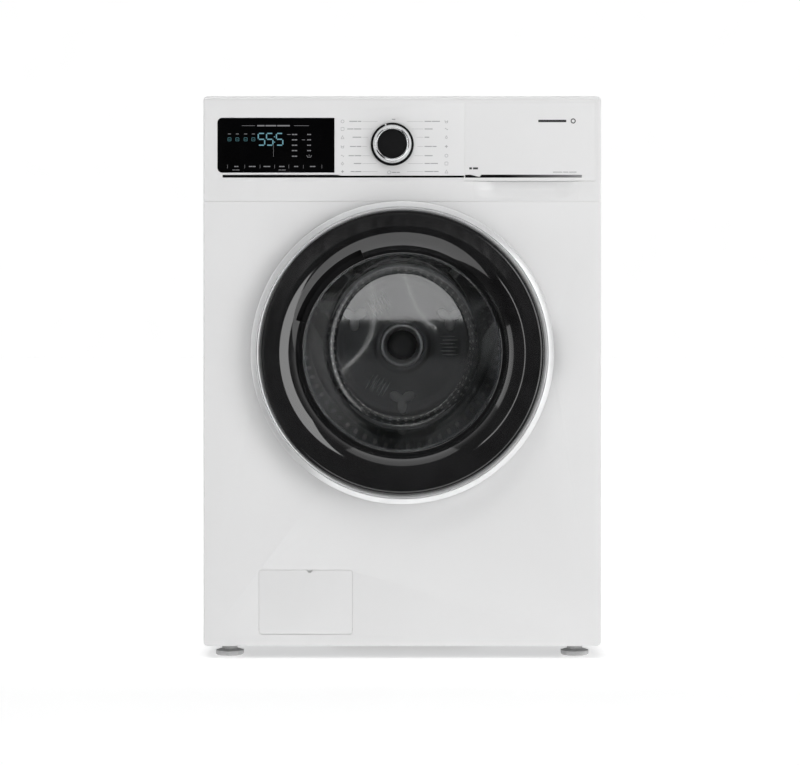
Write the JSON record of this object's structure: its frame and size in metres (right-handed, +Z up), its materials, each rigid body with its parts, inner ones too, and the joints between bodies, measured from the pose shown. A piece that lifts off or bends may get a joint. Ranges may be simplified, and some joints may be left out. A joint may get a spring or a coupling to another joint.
{
  "type": "front load washing machine",
  "caption": "Free-standing front-loading washing machine with a round glazed door, a rotary knob, a display, a detergent drawer, and a sprung tub, drum, motor and drain pump inside.",
  "frame": {"origin": "on the floor, under the middle of the machine's overall box", "axes": "+X to the right as seen from the front, +Y from the front to the back, +Z up; the drum's axis is parallel to Y"},
  "size_m": [0.597, 0.582, 0.845],
  "materials": {
    "white_paint": "satin",
    "white_plastic": "satin",
    "grey_plastic": "satin",
    "black_gloss": "gloss",
    "black_plastic": "satin",
    "chrome_trim": "polished",
    "door_bowl": "gloss",
    "stainless": "satin",
    "galvanised": "satin",
    "grey_rubber": "matte",
    "black_rubber": "matte",
    "cast_aluminium": "satin",
    "concrete": "matte",
    "milky_plastic": "satin"
  },
  "bodies": {
    "cabinet": {"cabinet_wrap": "white_paint", "base_frame": "grey_plastic", "front_panel": "white_paint", "worktop": "white_plastic", "rear_access_cover": "galvanised", "front_crossbar": "galvanised", "control_fascia": "white_plastic", "display_window": "black_gloss", "fascia_trim": "chrome_trim", "control_board": "grey_plastic", "dispenser_housing": "milky_plastic", "inlet_valve": "grey_plastic", "inlet_hose": "black_rubber", "cord_gland": "black_plastic", "door_lock": "black_plastic", "hinge_bracket": "galvanised", "door_gasket": "grey_rubber", "damper_cylinder_left": "grey_plastic", "damper_cylinder_right": "grey_plastic", "suspension_spring_left": "galvanised", "suspension_spring_right": "galvanised", "filter_housing": "grey_plastic", "drain_pump": "black_plastic", "drain_hose": "grey_rubber", "sump_hose": "black_rubber", "tub_fill_hose": "black_rubber"},
    "tub": {"tub_front": "milky_plastic", "tub_rear": "milky_plastic", "heater_element": "stainless", "counterweight_front": "concrete", "counterweight_top": "concrete", "bearing_front": "stainless", "bearing_rear": "stainless", "motor_body": "galvanised", "drive_belt": "black_rubber", "damper_rod_left": "galvanised", "damper_rod_right": "galvanised"},
    "drum": {"drum_shell": "stainless", "drum_lifter_1": "grey_plastic", "drum_lifter_2": "grey_plastic", "drum_lifter_3": "grey_plastic", "drum_spider": "cast_aluminium", "drum_pulley": "cast_aluminium"},
    "motor_shaft": {"motor_rotor": "galvanised"},
    "door": {"door_trim_ring": "chrome_trim", "door_front_ring": "black_gloss", "door_glass": "door_bowl", "door_inner_frame": "grey_plastic"},
    "door_latch": {"latch_hook": "galvanised"},
    "detergent_drawer": {"drawer_front": "white_plastic", "drawer_tray": "milky_plastic"},
    "knob": {"knob_body": "black_plastic", "knob_ring": "chrome_trim"},
    "flap": {"pump_flap": "white_plastic"},
    "filter": {"pump_filter": "white_plastic"},
    "impeller": {"pump_impeller": "black_plastic"},
    "foot_fl": {"foot_front_left": "black_rubber"},
    "foot_fr": {"foot_front_right": "black_rubber"},
    "foot_rl": {"foot_rear_left": "black_rubber"},
    "foot_rr": {"foot_rear_right": "black_rubber"}
  },
  "joints": [
    {"name": "tub_suspension", "type": "slide", "parent": "cabinet", "child": "tub", "axis": [0, 0, 1], "range_m": [-0.012, 0.012], "stiffness_N_per_m": 20000, "springref_m": 0.02116, "deforming": ["suspension_spring_left", "suspension_spring_right", "door_gasket", "sump_hose", "tub_fill_hose"]},
    {"name": "drum_spin", "type": "hinge", "parent": "tub", "child": "drum", "pos_m": [0, 0, 0.461], "axis": [0, 1, 0], "continuous": true},
    {"name": "motor_spin", "type": "hinge", "parent": "tub", "child": "motor_shaft", "pos_m": [0.11, 0.15, 0.125], "axis": [0, 1, 0], "continuous": true},
    {"name": "door_hinge", "type": "hinge", "parent": "cabinet", "child": "door", "pos_m": [0.218, -0.268, 0.461], "axis": [0, 0, 1], "range_deg": [0, 120]},
    {"name": "latch_pivot", "type": "hinge", "parent": "door", "child": "door_latch", "pos_m": [-0.199, -0.264, 0.461], "axis": [0, 0, -1], "range_deg": [0, 10], "stiffness_Nm_per_rad": 0.5, "springref_deg": -11.46},
    {"name": "drawer_slide", "type": "slide", "parent": "cabinet", "child": "detergent_drawer", "axis": [0, -1, 0], "range_m": [0, 0.19]},
    {"name": "knob_turn", "type": "hinge", "parent": "cabinet", "child": "knob", "pos_m": [-0.015, -0.255, 0.7728], "axis": [0, 1, 0], "continuous": true},
    {"name": "flap_hinge", "type": "hinge", "parent": "cabinet", "child": "flap", "pos_m": [-0.145, -0.2455, 0.0405], "axis": [1, 0, 0], "range_deg": [0, 90]},
    {"name": "filter_turn", "type": "hinge", "parent": "cabinet", "child": "filter", "pos_m": [-0.145, -0.19, 0.0855], "axis": [0, -1, 0], "range_deg": [0, 180]},
    {"name": "impeller_spin", "type": "hinge", "parent": "cabinet", "child": "impeller", "pos_m": [-0.145, -0.1, 0.0855], "axis": [0, 1, 0], "continuous": true},
    {"name": "foot_fl_screw", "type": "hinge", "parent": "cabinet", "child": "foot_fl", "pos_m": [-0.262, -0.195, 0.03], "axis": [0, 0, 1], "continuous": true},
    {"name": "foot_fr_screw", "type": "hinge", "parent": "cabinet", "child": "foot_fr", "pos_m": [0.262, -0.195, 0.03], "axis": [0, 0, 1], "continuous": true},
    {"name": "foot_rl_screw", "type": "hinge", "parent": "cabinet", "child": "foot_rl", "pos_m": [-0.262, 0.235, 0.03], "axis": [0, 0, 1], "continuous": true},
    {"name": "foot_rr_screw", "type": "hinge", "parent": "cabinet", "child": "foot_rr", "pos_m": [0.262, 0.235, 0.03], "axis": [0, 0, 1], "continuous": true}
  ],
  "couplings": [
    {"joint": "motor_spin", "follows": "drum_spin", "ratio": 14}
  ]
}
